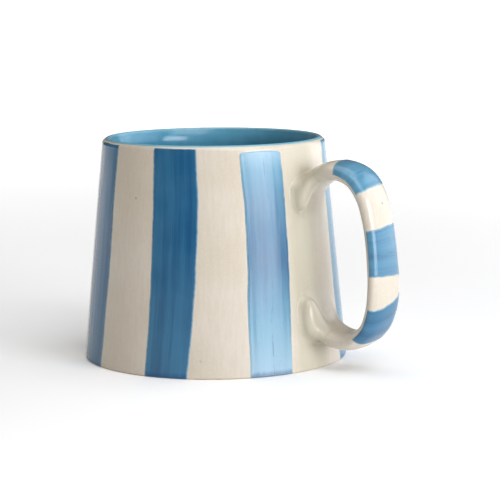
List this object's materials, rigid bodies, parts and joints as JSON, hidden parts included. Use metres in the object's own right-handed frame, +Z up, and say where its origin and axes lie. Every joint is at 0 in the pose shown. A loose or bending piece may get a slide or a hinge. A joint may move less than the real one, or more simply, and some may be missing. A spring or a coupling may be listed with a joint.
{
  "type": "ceramic mug",
  "caption": "Stoneware mug, wider at the foot than at the rim, with a strap handle, brushed blue stripes and a blue-glazed inside.",
  "frame": {"origin": "centre of the foot ring, on the surface the mug stands on", "axes": "+Z up out of the mouth, +X towards the handle, so the handle's plane is XZ"},
  "size_m": [0.1288, 0.101, 0.084],
  "materials": {
    "stoneware": "cream stoneware under a clear gloss glaze, bare matt clay on the foot ring",
    "slip": "cream slip under a clear gloss glaze",
    "liner_glaze": "gloss turquoise blue glaze, paler on the lip",
    "blue_glaze": "gloss mid blue brushed glaze with streaks"
  },
  "bodies": {
    "root": {"body": "stoneware", "handle": "stoneware", "upper_slip_joint": "slip", "lower_slip_joint": "slip", "liner_glaze": "liner_glaze", "wall_stripe_1": "blue_glaze", "wall_stripe_2": "blue_glaze", "wall_stripe_3": "blue_glaze", "wall_stripe_4": "blue_glaze", "wall_stripe_5": "blue_glaze", "wall_stripe_6": "blue_glaze", "wall_stripe_7": "blue_glaze", "wall_stripe_8": "blue_glaze", "handle_stripe_top": "blue_glaze", "handle_stripe_middle": "blue_glaze", "handle_stripe_bottom": "blue_glaze"}
  },
  "joints": []
}
